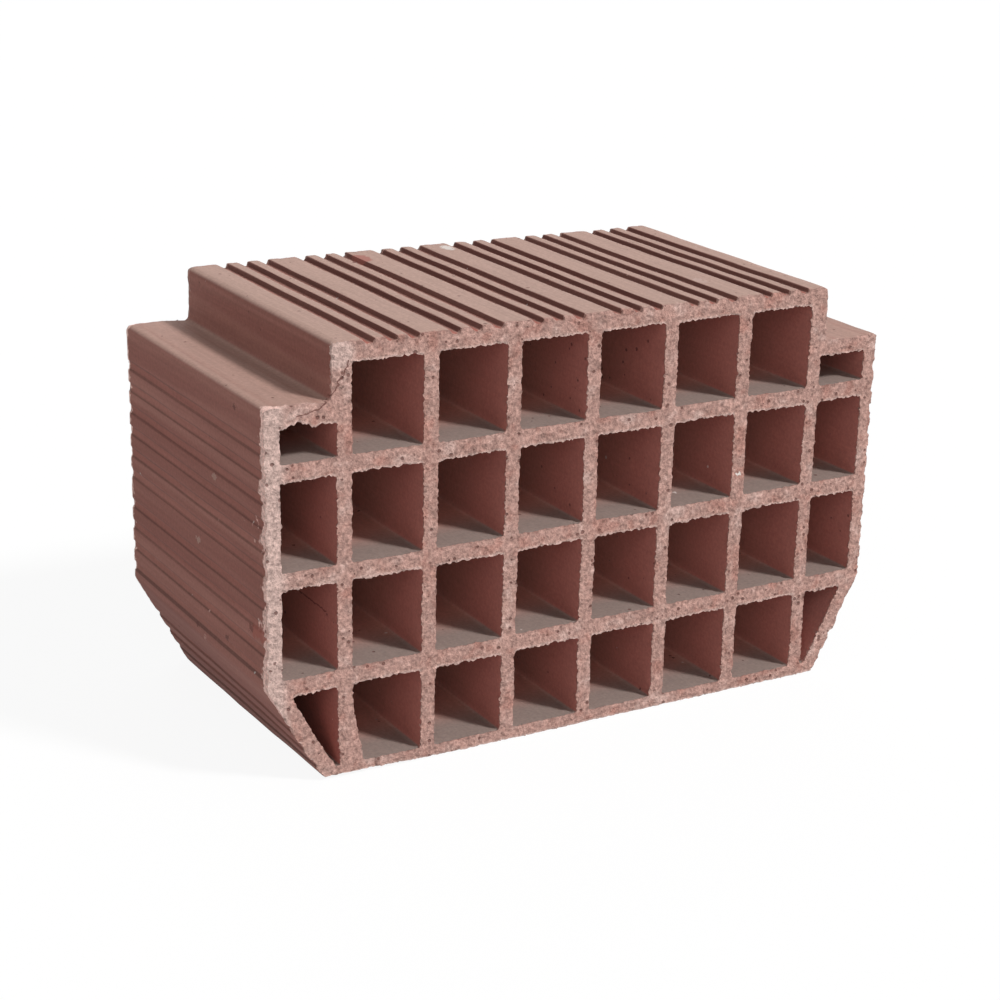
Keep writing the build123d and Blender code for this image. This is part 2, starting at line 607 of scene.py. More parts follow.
# %% Relief tree: inputs
RELIEF_INPUTS = (
    # name, kind, value
    ("Tear depth", "NodeSocketFloat", 1.1 * MM),
    ("Pit depth", "NodeSocketFloat", 0.7 * MM),
    ("Rag size", "NodeSocketFloat", 0.95 * MM),
    ("Rag reach", "NodeSocketFloat", 1.7 * MM),
    ("Edge wear", "NodeSocketFloat", 0.42 * MM),
    ("Edge reach", "NodeSocketFloat", 2.2 * MM),
    ("Skin dents", "NodeSocketFloat", 0.35 * MM),
    ("Web sway", "NodeSocketFloat", 0.55 * MM),
    ("Crumb size", "NodeSocketFloat", 0.55 * MM),
    ("Crumbs per square metre", "NodeSocketFloat", 95000.0),
    ("Lowest corner", "NodeSocketVector", tuple(low_corner)),
    ("Highest corner", "NodeSocketVector", tuple(high_corner)),
    ("Clay", "NodeSocketMaterial", None),
)
relief = bpy.data.node_groups.new("torn clay relief", "GeometryNodeTree")
relief.interface.new_socket("Mesh", in_out="INPUT", socket_type="NodeSocketGeometry")
relief.interface.new_socket("Mesh", in_out="OUTPUT", socket_type="NodeSocketGeometry")
relief_sockets = {}
for name, kind, value in RELIEF_INPUTS:
    socket = relief.interface.new_socket(name, in_out="INPUT", socket_type=kind)
    relief_sockets[name] = (socket.identifier, value)
given = relief.nodes.new("NodeGroupInput").outputs


def fact(name, data_type="FLOAT"):
    """Reads what the mesh keeps at each point."""
    node = place(relief, "GeometryNodeInputNamedAttribute", {"Name": name}, data_type=data_type)
    return node.outputs["Attribute"]


def step(kind, inputs, **settings):
    """One node of the relief tree, with its first output."""
    return place(relief, kind, inputs, **settings).outputs[0]


def signed(value):
    """Noise from about -1 to 1, with a few higher peaks."""
    return maths(relief, "MULTIPLY_ADD", value, 4.0, -2.0)


print("relief inputs:", len(relief_sockets))


# %% Relief tree: the cut
SWELL_WAVE, SWELL_SHARE = 9 * MM, 0.9
GRAIN_WAVE, GRAIN_SHARE = 2.6 * MM, 1.3
TEAR_RANGE = (0.75, 1.45)
PIT_SPACING = 3.4 * MM
PIT_ABOVE = 0.72
PIT_RIM, PIT_BOTTOM = 0.32, 0.1

point_at = place(relief, "GeometryNodeInputPosition").outputs[0]
rim_far, skin = fact("rim_far"), fact("skin")
rim_way, cut_way = fact("rim_way", "FLOAT_VECTOR"), fact("cut_way", "FLOAT_VECTOR")
at_parts = parts(relief, point_at)
cut_side = maths(relief, "SIGN", at_parts[1])
flat_at = step("ShaderNodeCombineXYZ", {0: at_parts[0], 1: cut_side, 2: at_parts[2]})
grain = product(relief, noise(relief, flat_at, GRAIN_WAVE, rough=0.6), GRAIN_SHARE)
torn_down = maths(relief, "MULTIPLY_ADD", noise(relief, flat_at, SWELL_WAVE), SWELL_SHARE, grain)
torn_down = span(relief, torn_down, *TEAR_RANGE, smooth=False)
pits = place(relief, "ShaderNodeTexVoronoi", {"Vector": flat_at, "Scale": 1 / PIT_SPACING}).outputs
pit_here = maths(relief, "GREATER_THAN", parts(relief, pits["Color"])[0], PIT_ABOVE)
pit_here = product(relief, pit_here, span(relief, pits["Distance"], PIT_RIM, PIT_BOTTOM))
sunk = product(relief, torn_down, given["Tear depth"])
sunk = maths(relief, "MULTIPLY_ADD", pit_here, given["Pit depth"], sunk)
cut_move = vectors(relief, "SCALE", cut_way, product(relief, sunk, -1.0))
print("pits in the cut: one place in", round(1 / (1 - PIT_ABOVE), 1))

# %% Relief tree: which way each rim faces
MOSTLY, WHOLLY = 0.5, 0.95
way_parts = parts(relief, rim_way)
hanging = span(relief, way_parts[2], -MOSTLY, -WHOLLY)
leftward = span(relief, way_parts[0], -MOSTLY, -WHOLLY)
upward = span(relief, way_parts[2], MOSTLY, WHOLLY)


def fade_from_rim(reach):
    """1 at a rim, falling away over the reach."""
    share = maths(relief, "DIVIDE", rim_far, reach)
    squared = maths(relief, "POWER", share, 2.0)
    return maths(relief, "EXPONENT", product(relief, squared, -1.0))


print("relief nodes for the cut and the rims:", len(relief.nodes))

# %% Relief tree: ragged mouths
FINE_RAG, FINE_ROUGH = 2.0 * MM, 0.75
BROAD_RAG, BROAD_SHARE = 6.5 * MM, 0.4
WILD_AT_ALL, WILD_HANGING, WILD_LEFTWARD, WILD_UPWARD = 0.8, 0.45, 0.45, -0.25
BROKEN_CEILING = (-178, -98, 205)
BROKEN_REACH = (18 * MM, 8 * MM)
WILD_BROKEN = 0.35

fine_rag = signed(noise(relief, flat_at, FINE_RAG, rough=FINE_ROUGH))
broad_rag = product(relief, signed(noise(relief, flat_at, BROAD_RAG)), BROAD_SHARE)
rag = maths(relief, "MULTIPLY_ADD", fine_rag, 1.0, broad_rag)
wildness = WILD_AT_ALL
for faces, more in ((hanging, WILD_HANGING), (leftward, WILD_LEFTWARD), (upward, WILD_UPWARD)):
    wildness = maths(relief, "MULTIPLY_ADD", faces, more, wildness)
broken = vectors(relief, "SUBTRACT", point_at, Vector(BROKEN_CEILING) * MM)
broken = span(relief, vectors(relief, "LENGTH", broken), *BROKEN_REACH, 0.0, WILD_BROKEN)
wildness = maths(relief, "ADD", wildness, product(relief, broken, hanging))
near_rim = fade_from_rim(given["Rag reach"])
in_mouth = maths(relief, "SUBTRACT", 1.0, skin)
rag = product(relief, rag, wildness, given["Rag size"], near_rim, in_mouth)
mouth_move = vectors(relief, "SCALE", rim_way, rag)
print("waves of the ragged mouths, mm:", FINE_RAG / MM, BROAD_RAG / MM)

# %% Relief tree: worn outer edges
WEAR_WAVE = 5 * MM
WEAR_RANGE = (0.25, 1.6)
LEFT_EDGE = (low_corner.x + 10 * MM, low_corner.x + 3 * MM)
LEFT_WEARS_LESS = -0.5
LEFT_REACHES_ON = 1.2 * MM
BACK_WEARS = 0.5
WEAR_FROM_CUT = 0.9

wear = by_noise(relief, noise(relief, flat_at, WEAR_WAVE, rough=0.6), *WEAR_RANGE)
left_edge = product(relief, leftward, span(relief, at_parts[0], *LEFT_EDGE))
left_less = maths(relief, "MULTIPLY_ADD", left_edge, LEFT_WEARS_LESS, 1.0)
back_less = span(relief, cut_side, 1.0, -1.0, BACK_WEARS, 1.0)
edge_reach = maths(relief, "MULTIPLY_ADD", left_edge, LEFT_REACHES_ON, given["Edge reach"])
at_edge = product(relief, fade_from_rim(edge_reach), skin)
wear = product(relief, wear, left_less, back_less, given["Edge wear"], at_edge)
worn_ways = vectors(relief, "ADD", rim_way, vectors(relief, "SCALE", cut_way, WEAR_FROM_CUT))
edge_move = vectors(relief, "SCALE", worn_ways, product(relief, wear, -1.0))
print("edge wear at the left starts, mm:", round(LEFT_EDGE[0] / MM, 1))

# %% [markdown]
# ## What the kiln did
#
# Wet clay sags when it is handled and shrinks when it is fired, so no block is
# quite true. The skin has shallow dents and the webs sway a little. Those follow
# broad noise that fades to nothing at the outline, so that the block keeps its
# size. The larger bends of this one block are few, and each is given by its
# middle, its reach and its push: a sunken end of the top, two tilted shoulders,
# the bent foot of a web and a notch in a ceiling.

# %% Relief tree: dents and sway
DENT_WAVE, DENT_RANGE = 46 * MM, (0.35, 0.7)
SWAY_WAVE, SWAY_ALONG, SWAY_GAIN = 62 * MM, 0.35, 4.0
SWAY_ROOM = (2 * MM, 16 * MM)

dent = span(relief, noise(relief, point_at, DENT_WAVE, detail=1.0), *DENT_RANGE)
dent = product(relief, dent, product(relief, given["Skin dents"], skin))
dent_move = vectors(relief, "SCALE", rim_way, product(relief, dent, -1.0))
sway_at = vectors(relief, "MULTIPLY", point_at, (1.0, SWAY_ALONG, 1.0))
sway = noise(relief, sway_at, SWAY_WAVE, detail=1.0, output="Color")
sway = vectors(relief, "SUBTRACT", sway, NOISE_MIDDLE)
sway = vectors(relief, "MULTIPLY", sway, (SWAY_GAIN, 0.0, SWAY_GAIN))
above = vectors(relief, "SUBTRACT", point_at, given["Lowest corner"])
below = vectors(relief, "SUBTRACT", given["Highest corner"], point_at)
room = parts(relief, vectors(relief, "MINIMUM", above, below))
room_left = span(relief, maths(relief, "MINIMUM", room[0], room[2]), *SWAY_ROOM)
sway_move = vectors(relief, "SCALE", sway, product(relief, given["Web sway"], room_left))
print("sway fades out over the outer", SWAY_ROOM[1] / MM, "mm")

# %% Relief tree: where this block is bent
BENDS = (
    # middle, reach and push, in mm
    ((170, 0, 252), (190, 400, 12), (0, 0, -2.7)),
    ((-184, 0, 217), (24, 400, 11), (0, 0, 2.1)),
    ((184, 0, 217), (24, 400, 11), (0, 0, -2.9)),
    ((-146, -98, 2), (8, 120, 28), (8.5, 0, 0)),
    ((-168, -98, 0), (12, 120, 14), (1.8, 0, 0)),
    ((-160, -98, -2), (48, 60, 5), (0, 0, 2.0)),
    ((-180, -98, 206), (5.5, 16, 4), (0, 0, 2.6)),
    ((-171, -98, 206), (2.5, 6, 3), (0, 0, -1.3)),
)


def bend_at(middle, reach, push):
    """A push that is strongest at its middle and fades out over its reach."""
    away = vectors(relief, "SUBTRACT", point_at, [value * MM for value in middle])
    away = vectors(relief, "DIVIDE", away, [value * MM for value in reach])
    far = vectors(relief, "DOT_PRODUCT", away, away)
    strength = maths(relief, "EXPONENT", product(relief, far, -1.0))
    return vectors(relief, "SCALE", [value * MM for value in push], strength)


def held_inside(place_at):
    """A place, moved no further out than the CAD model's box."""
    place_at = vectors(relief, "MAXIMUM", place_at, given["Lowest corner"])
    return vectors(relief, "MINIMUM", place_at, given["Highest corner"])


moves = [cut_move, mouth_move, edge_move, dent_move, sway_move]
moves += [bend_at(*bend) for bend in BENDS]
total_move = moves[0]
for move in moves[1:]:
    total_move = vectors(relief, "ADD", total_move, move)
moved_to = held_inside(vectors(relief, "ADD", point_at, total_move))
relieved = step("GeometryNodeSetPosition", {"Geometry": given["Mesh"], "Position": moved_to})
print("moves added up:", len(moves))

# %% [markdown]
# ## Crumbs
#
# Grains of clay stick to the cut and hang along the lower edges of the webs.
# They are scattered by the same tree: points on the torn faces, thickest along
# the hanging rims, each with a lump of twenty faces. The lumps are made real
# geometry, roughened, and joined to the block. At the end all is shaded smooth
# but for the edges that fold sharply, which are the rims, so that the torn ends
# keep a crisp border.

# %% Relief tree: crumbs
CRUMB_SEED, TURN_SEED, SIZE_SEED = 7, 3, 5
CRUMBS_AT_RIMS, CRUMBS_ANYWHERE = 0.16, 0.035
CRUMB_REACH = 1.3 * MM
CRUMB_SMALL, CRUMB_LARGE = (0.35, 0.35, 0.35), (1.25, 1.25, 1.0)
CRUMB_ROUGH_WAVE = 0.8 * MM
WHOLE_TURN = (6.28, 6.28, 6.28)


def by_chance(low, high, seed):
    """A different vector for each crumb, between two vectors."""
    inputs = {"Min": low, "Max": high, "Seed": seed}
    return step("FunctionNodeRandomValue", inputs, data_type="FLOAT_VECTOR")


likely = maths(relief, "MULTIPLY_ADD", hanging, 1.0, CRUMBS_AT_RIMS)
likely = product(relief, likely, fade_from_rim(CRUMB_REACH))
likely = maths(relief, "ADD", likely, CRUMBS_ANYWHERE)
on_cut = maths(relief, "GREATER_THAN", maths(relief, "ABSOLUTE", parts(relief, cut_way)[1]), WHOLLY)
scattered = place(
    relief,
    "GeometryNodeDistributePointsOnFaces",
    {
        "Mesh": relieved,
        "Density": product(relief, likely, given["Crumbs per square metre"]),
        "Selection": on_cut,
        "Seed": CRUMB_SEED,
    },
)
lump = place(relief, "GeometryNodeMeshIcoSphere", {"Radius": 1.0, "Subdivisions": 1})
sized = by_chance(CRUMB_SMALL, CRUMB_LARGE, SIZE_SEED)
crumbs = step(
    "GeometryNodeInstanceOnPoints",
    {
        "Points": scattered.outputs["Points"],
        "Instance": lump.outputs["Mesh"],
        "Rotation": by_chance((0, 0, 0), WHOLE_TURN, TURN_SEED),
        "Scale": vectors(relief, "SCALE", sized, given["Crumb size"]),
    },
)
crumbs = step("GeometryNodeRealizeInstances", {0: crumbs})
bumped = noise(relief, point_at, CRUMB_ROUGH_WAVE, output="Color")
bumped = vectors(relief, "SUBTRACT", bumped, NOISE_MIDDLE)
bumped = vectors(relief, "SCALE", bumped, given["Crumb size"])
crumbs = step("GeometryNodeSetPosition", {"Geometry": crumbs, "Offset": bumped})
all_torn = {"Geometry": crumbs, "Name": "torn", "Value": 1.0}
crumbs = step("GeometryNodeStoreNamedAttribute", all_torn)
crumbs = step("GeometryNodeSetPosition", {"Geometry": crumbs, "Position": held_inside(point_at)})
print("relief nodes with the crumbs:", len(relief.nodes))

# %% Relief tree: one shaded mesh
SHARP_FOLD = math.radians(52)

joined = place(relief, "GeometryNodeJoinGeometry").inputs[0]
relief.links.new(crumbs, joined)
relief.links.new(relieved, joined)
realized = step("GeometryNodeRealizeInstances", {0: joined.node.outputs[0]})
smooth = step("GeometryNodeSetShadeSmooth", {"Geometry": realized})
fold = place(relief, "GeometryNodeInputMeshEdgeAngle").outputs["Unsigned Angle"]
sharp = maths(relief, "GREATER_THAN", fold, SHARP_FOLD)
crisp = {"Geometry": smooth, "Selection": sharp, "Shade Smooth": False}
smooth = step("GeometryNodeSetShadeSmooth", crisp, domain="EDGE")
covered = step("GeometryNodeSetMaterial", {"Geometry": smooth, "Material": given["Clay"]})
place(relief, "NodeGroupOutput", {0: covered})
print("relief tree nodes:", len(relief.nodes))

# %% [markdown]
# ## Fired clay
#
# One body of clay is seen in three states. The skin that the die wiped is red
# brown, with fine streaks along the block. The grooves and the cells are the
# same skin without the dust, so they are darker and redder. The bottoms of the
# grooves are partly bare clay and partly painted shade, their walls carry
# painted shade, and deep in the cells the colour is painted lighter and redder
# as bounce light. The cut is pale, almost pink, because it is rough and scatters
# light, and it is freckled with dark pits and a few white specks of lime. It has
# a painted highlight along the rims that hang over the cells, and the torn lip at
# the left edge is painted light. The material mixes the three by the facts that
# the mesh keeps at its points.

# %% Colours of the clay
SKIN = (0.250, 0.096, 0.076, 1)
SKIN_WORN = (0.320, 0.140, 0.112, 1)
# bare clay; in the grooves this colour is also painted shade
BARE_AND_GROOVE_SHADE = (0.320, 0.103, 0.079, 1)
CHIP = (0.330, 0.120, 0.095, 1)
IN_CELL = (0.41, 0.155, 0.127, 1)
# painted bounce light: the cells' colour deep in, lighter and redder
DEEP_CELL_PAINTED_BOUNCE = (0.50, 0.245, 0.195, 1)
DUST = (0.405, 0.262, 0.216, 1)
CELL_DUST = (0.26, 0.200, 0.176, 1)
# painted bounce light on the cell floors in shade
CELL_FLOOR_PAINTED_BOUNCE = (0.56, 0.270, 0.215, 1)
TORN = (0.39, 0.233, 0.197, 1)
# pale torn clay, also a painted highlight along the hanging rims
TORN_PALE_AND_HIGHLIGHT = (0.50, 0.352, 0.312, 1)
TORN_RED = (0.37, 0.185, 0.150, 1)
# painted light on the torn lip where it turns to the side
TORN_LIP_PAINTED_LIGHT = (0.74, 0.49, 0.43, 1)
# dark pits and cracks, also a painted shadow in a chip
PIT_AND_SHADOW = (0.13, 0.050, 0.041, 1)
LIME = (0.66, 0.60, 0.56, 1)

clay = bpy.data.materials.new("fired_clay")
tree = own_tree(clay)
object_at = place(tree, "ShaderNodeTexCoord").outputs["Object"]
object_parts = parts(tree, object_at)
facing = parts(tree, place(tree, "ShaderNodeNewGeometry").outputs["Normal"])


def kept(name, output="Fac"):
    """Reads in the material what the mesh keeps at its points."""
    return place(tree, "ShaderNodeAttribute", attribute_name=name).outputs[output]


def blend(share, first, second):
    """Mixes two colours."""
    inputs = {"Factor": share, 6: first, 7: second}
    return place(tree, "ShaderNodeMix", inputs, data_type="RGBA", clamp_factor=True).outputs[2]


def either(share, first, second):
    """Mixes two numbers."""
    return place(tree, "ShaderNodeMix", {"Factor": share, "A": first, "B": second}).outputs[0]


def lighter(colour, value):
    """Multiplies a colour by a value."""
    node = place(tree, "ShaderNodeVectorMath", {0: colour, "Scale": value}, operation="SCALE")
    return node.outputs[0]


def from_middle(middle, reach, at):
    """Distance from a middle, where 1 is the reach, both given in mm."""
    inputs = {"Vector": at, "Location": Vector(middle) * MM, "Scale": Vector(reach) * MM}
    shifted = place(tree, "ShaderNodeMapping", inputs, vector_type="TEXTURE").outputs[0]
    return vectors(tree, "LENGTH", shifted)


# %% What the whole block shares
GRIT_SPACING = 3.6 * MM
GRIT_SMALLEST, GRIT_LARGEST, GRIT_UNEVEN = 0.08, 0.3, 0.1
GRIT_EDGE = (-0.05, 0.08)
CLAY_GRAINS, CLAY_COARSE, CLAY_PATCHES = 2.0 * MM, 3.2 * MM, 16 * MM
CELL_SKIN = (0.4, 0.6)

grains = noise(tree, object_at, CLAY_GRAINS, detail=3.0, rough=0.7)
coarse = noise(tree, object_at, CLAY_COARSE, detail=2.0, rough=0.6)
patches = noise(tree, object_at, CLAY_PATCHES, detail=3.0, rough=0.65)
grit_inputs = {"Vector": object_at, "Scale": 1 / GRIT_SPACING}
grit = place(tree, "ShaderNodeTexVoronoi", grit_inputs).outputs
chances = parts(tree, grit["Color"])
grit_size = span(tree, chances[1], 0.0, 1.0, GRIT_SMALLEST, GRIT_LARGEST, smooth=False)
grit_size = maths(tree, "ADD", grit_size, by_noise(tree, grains, -GRIT_UNEVEN, GRIT_UNEVEN))
grit_spots = span(tree, maths(tree, "SUBTRACT", grit_size, grit["Distance"]), *GRIT_EDGE)
in_cell = span(tree, kept("inner"), *CELL_SKIN)
deep_in = maths(tree, "SUBTRACT", high_corner.y, maths(tree, "ABSOLUTE", object_parts[1]))


def spots_above(chance, limit):
    """Only the grit whose chance is above a limit."""
    return product(tree, grit_spots, maths(tree, "GREATER_THAN", chance, limit))


print("nodes that the whole block shares:", len(tree.nodes))

# %% The wiped skin
DRAWN_OUT = (1.0, 0.03, 1.0)  # the die draws every pattern out along the block
STREAK_WAVE, BAND_WAVE = 1.8 * MM, 14 * MM
WORN_BANDS = (0.35, 0.65)
DUST_LIES = (0.35, 0.9)  # how far up a face must look for dust to lie on it
WALL_SHADE_CLEARS_DUST = (0.12, 0.02)
LEDGE_TO_CROWN = (high_corner.z - 23 * MM, high_corner.z - 8 * MM)
LEDGE_DUST, CROWN_DUST = 0.8, 0.97
GROOVE_POWER = 1.3
WALL_FROM = (0.02, 0.2)
STEEP_SHADE = 0.55
SKIN_STREAKS, CELL_STREAKS = 0.065, 0.03
SKIN_GRAINY = (0.88, 1.12)
SKIN_PIT_ABOVE = 0.965
PIT_STRENGTH = 0.75

streak_at = place(tree, "ShaderNodeMapping", {"Vector": object_at, "Scale": DRAWN_OUT}).outputs[0]
streaks = noise(tree, streak_at, STREAK_WAVE, detail=2.0, rough=0.6)
bands = noise(tree, streak_at, BAND_WAVE, detail=2.0, rough=0.6)
steep = kept("steep")
# Dust lies on faces that look up, but not on the groove walls, so that their painted shade shows.
dusty = product(tree, span(tree, facing[2], *DUST_LIES), span(tree, steep, *WALL_SHADE_CLEARS_DUST))
dust_share = span(tree, object_parts[2], *LEDGE_TO_CROWN, LEDGE_DUST, CROWN_DUST)
skin_colour = blend(span(tree, bands, *WORN_BANDS), SKIN, SKIN_WORN)
skin_colour = blend(product(tree, dusty, dust_share), skin_colour, DUST)
# Groove bottoms take the bare colour the deeper they are: partly bare clay without dust, partly
# painted shade.
skin_colour = blend(maths(tree, "POWER", kept("groove"), GROOVE_POWER), skin_colour, BARE_AND_GROOVE_SHADE)
# Painted shade on the groove walls.
skin_colour = lighter(skin_colour, span(tree, steep, *WALL_FROM, 1.0, STEEP_SHADE))
print("dust on the ledges and on the crown:", LEDGE_DUST, CROWN_DUST)

# %% Inside the cells, with painted bounce light deep in
DEEP_WALL = (20 * MM, 80 * MM)
DEEP_FLOOR = (15 * MM, 55 * MM)

# Deeper in, the cells are painted lighter and redder: painted bounce light in their shade.
cell_with_painted_bounce = blend(span(tree, deep_in, *DEEP_WALL), IN_CELL, DEEP_CELL_PAINTED_BOUNCE)
skin_colour = blend(in_cell, skin_colour, cell_with_painted_bounce)
# The floors are grey dust near the mouth, where the key lamp falls, and deeper in, in shade, a
# lighter brown of painted bounce light.
cell_floor_dust_and_bounce = blend(span(tree, deep_in, *DEEP_FLOOR), CELL_DUST, CELL_FLOOR_PAINTED_BOUNCE)
skin_colour = blend(product(tree, in_cell, dusty), skin_colour, cell_floor_dust_and_bounce)
streaky = either(in_cell, SKIN_STREAKS, CELL_STREAKS)
streaky = product(tree, by_noise(tree, streaks, -1.0, 1.0), streaky)
skin_colour = lighter(skin_colour, maths(tree, "ADD", streaky, 1.0))
skin_colour = lighter(skin_colour, by_noise(tree, grains, *SKIN_GRAINY))
skin_pits = spots_above(chances[0], SKIN_PIT_ABOVE)
skin_colour = blend(product(tree, skin_pits, PIT_STRENGTH), skin_colour, PIT_AND_SHADOW)
print("pits in the skin: one place in", round(1 / (1 - SKIN_PIT_ABOVE)))

# %% The torn cut
LEFT_PALE = (low_corner.x + 17 * MM, low_corner.x + 7 * MM)
CROWN_CORNER, CROWN_CORNER_REACH = (-157, -98, 241), (10, 12, 9)
CROWN_EDGE = (1.2, 0.6)
PALE_PATCHES, RED_PATCHES = (0.52, 0.74), (0.48, 0.33)
PALE_SHARE, RED_SHARE, FRINGE_SHARE = 0.7, 0.8, 0.7
CUT_GRAINY, CUT_COARSE = (0.6, 1.42), (0.85, 1.15)
TURNS_TO_SIDE = (-0.7, -0.3)
FRINGE = (1.8 * MM, 0.4 * MM)
FRINGE_HANGS = (-0.5, -0.9)
CUT_PIT_ABOVE = 0.72

left_pale = span(tree, object_parts[0], *LEFT_PALE)
crown_pale = span(tree, from_middle(CROWN_CORNER, CROWN_CORNER_REACH, object_at), *CROWN_EDGE)
paler = maths(tree, "MAXIMUM", left_pale, crown_pale)
paler = maths(tree, "MAXIMUM", span(tree, patches, *PALE_PATCHES, 0.0, PALE_SHARE), paler)
torn_colour = blend(span(tree, patches, *RED_PATCHES, 0.0, RED_SHARE), TORN, TORN_RED)
torn_colour = blend(paler, torn_colour, TORN_PALE_AND_HIGHLIGHT)
# Where the torn clay at the left edge turns to the side, it is painted as bright as the lit cut:
# painted light.
lip_painted_light = product(tree, left_pale, span(tree, facing[1], *TURNS_TO_SIDE))
torn_colour = blend(lip_painted_light, torn_colour, TORN_LIP_PAINTED_LIGHT)
# A painted highlight along the rims that hang over the cells.
looks_up = parts(tree, kept("rim_way", "Vector"))[2]
hangs = span(tree, looks_up, *FRINGE_HANGS, 0.0, FRINGE_SHARE)
fringe_highlight = product(tree, span(tree, kept("rim_far"), *FRINGE), hangs)
torn_colour = blend(fringe_highlight, torn_colour, TORN_PALE_AND_HIGHLIGHT)
torn_colour = lighter(torn_colour, by_noise(tree, grains, *CUT_GRAINY))
torn_colour = lighter(torn_colour, by_noise(tree, coarse, *CUT_COARSE))
cut_pits = spots_above(chances[0], CUT_PIT_ABOVE)
torn_colour = blend(product(tree, cut_pits, PIT_STRENGTH), torn_colour, PIT_AND_SHADOW)
print("the cut pales left of x, mm:", round(LEFT_PALE[0] / MM))

# %% [markdown]
# ## Where the skin ends
#
# The torn clay doesn't stop at the rim. The wire lifts the skin off in tatters,
# widest along the left edge, and leaves only a thin ragged border in the mouths
# of the cells. The mesh keeps how torn each point is, from 1 on the cut to almost
# nothing a centimetre behind it, and noise sets how torn a place must be before
# its skin is gone.

# %% From skin to cut
BORDER = (-0.06, 0.08)
OUTER_LIMIT, INNER_LIMIT = (0.93, 0.33), (0.95, 0.72)
LEFT_LIMIT, LEFT_TATTERS = (0.5, 0.06), (0.06, -0.06)
LIME_ABOVE, LIME_SHARE = 0.997, 0.6

in_front = maths(tree, "LESS_THAN", object_parts[1], 0.0)
on_left = product(tree, span(tree, object_parts[0], *LEFT_EDGE), in_front)
outer_limit = by_noise(tree, coarse, *OUTER_LIMIT)
left_limit = by_noise(tree, patches, *LEFT_LIMIT)
left_limit = maths(tree, "ADD", left_limit, by_noise(tree, coarse, *LEFT_TATTERS, smooth=True))
inner_limit = by_noise(tree, coarse, *INNER_LIMIT)
limit = either(in_cell, either(on_left, outer_limit, left_limit), inner_limit)
torn_share = span(tree, maths(tree, "SUBTRACT", kept("torn"), limit), *BORDER)
clay_colour = blend(torn_share, skin_colour, torn_colour)
lime_spots = spots_above(chances[2], LIME_ABOVE)
clay_colour = blend(product(tree, lime_spots, LIME_SHARE), clay_colour, LIME)
print("nodes for skin and cut:", len(tree.nodes))

# %% [markdown]
# ## Marks of this one block
#
# Every fired block has a few marks of its own. A hairline crack runs from the
# crown down to the shoulder, another crosses the web below it, flakes of pale
# clay lie about, and the side is scuffed where something dragged along it. A
# crack is all that is near a few straight runs, and a mark is all that is near
# a point. Both are found in the material, with some noise on the place so that
# no line is straight and no patch is round.

# %% Cracks and marks
FRONT_CRACK = ((-151, 237), (-155, 230), (-160, 221), (-167, 213.5), (-181, 210.5))
WEB_SIDE = -158.2
WEB_CRACK = ((-49, 93.7), (-83, 93.6))
MARKS = (
    # middle and reach in mm, colour, how much of it
    ((73.4, -75.8, 125.0), (1.6, 1.6, 1.6), LIME, 1.0),
    ((102.2, -98.0, 139.8), (1.6, 3.0, 1.6), LIME, 1.0),
    ((6.0, 84.5, 246.5), (4.0, 7.0, 3.0), LIME, 0.9),
    ((-57.0, 78.0, 247.0), (6.0, 10.0, 4.0), CHIP, 0.9),
    # a painted shadow at the front end of the chip
    ((-63.0, 69.0, 247.0), (3.0, 3.5, 4.0), PIT_AND_SHADOW, 1.0),
    ((-200.0, -85.0, 89.5), (4.0, 13.0, 3.8), BARE_AND_GROOVE_SHADE, 0.9),
    ((-200.0, -76.5, 89.5), (4.0, 3.2, 3.3), PIT_AND_SHADOW, 0.7),
    ((-200.0, -60.0, 209.0), (3.0, 2.2, 1.6), PIT_AND_SHADOW, 0.9),
    ((-200.0, -44.0, 72.0), (3.0, 2.5, 1.5), PIT_AND_SHADOW, 0.8),
    ((-200.0, -2.0, 65.0), (3.0, 3.0, 1.6), PIT_AND_SHADOW, 0.8),
    ((-200.0, -5.0, 117.0), (3.0, 4.0, 2.5), DUST, 0.7),
    ((-200.0, -30.0, 161.0), (3.0, 4.0, 1.5), DUST, 0.6),
    ((100.0, -53.0, 247.0), (4.0, 8.0, 3.0), TORN_PALE_AND_HIGHLIGHT, 0.5),
    ((66.0, -18.0, 247.0), (3.0, 9.0, 3.0), TORN_PALE_AND_HIGHLIGHT, 0.5),
)
CRACK_WIDTH = 0.7 * MM
CRACK_SHARE = 0.85
ROUGH_BY = Vector((2.0, 1.2, -2.0)) * MM
CRACK_ROUGH = 0.3 * ROUGH_BY
MARK_EDGE = (1.1, 0.8)
unevenly = by_noise(tree, coarse, -1.0, 1.0)
rough_at = vectors(tree, "ADD", object_at, vectors(tree, "SCALE", ROUGH_BY, unevenly))
crack_at = vectors(tree, "ADD", object_at, vectors(tree, "SCALE", CRACK_ROUGH, unevenly))


def far_from_run(start, end, flatten):
    """Distance from a straight run between two points given in mm, in a flattened space."""
    start, end = Vector(start) * MM * flatten, Vector(end) * MM * flatten
    run = end - start
    from_start = vectors(tree, "MULTIPLY", crack_at, flatten)
    from_start = vectors(tree, "SUBTRACT", from_start, start)
    along = vectors(tree, "DOT_PRODUCT", from_start, run / run.length_squared)
    along = vectors(tree, "SCALE", run, maths(tree, "MULTIPLY", along, 1.0, clamp=True))
    return vectors(tree, "LENGTH", vectors(tree, "SUBTRACT", from_start, along))


def crack(places, flatten):
    """1 along a crack through the places, fading over its width."""
    far = [far_from_run(start, end, flatten) for start, end in zip(places, places[1:])]
    nearest = far[0]
    for other in far[1:]:
        nearest = maths(tree, "MINIMUM", nearest, other)
    return span(tree, nearest, CRACK_WIDTH, 0.3 * CRACK_WIDTH)


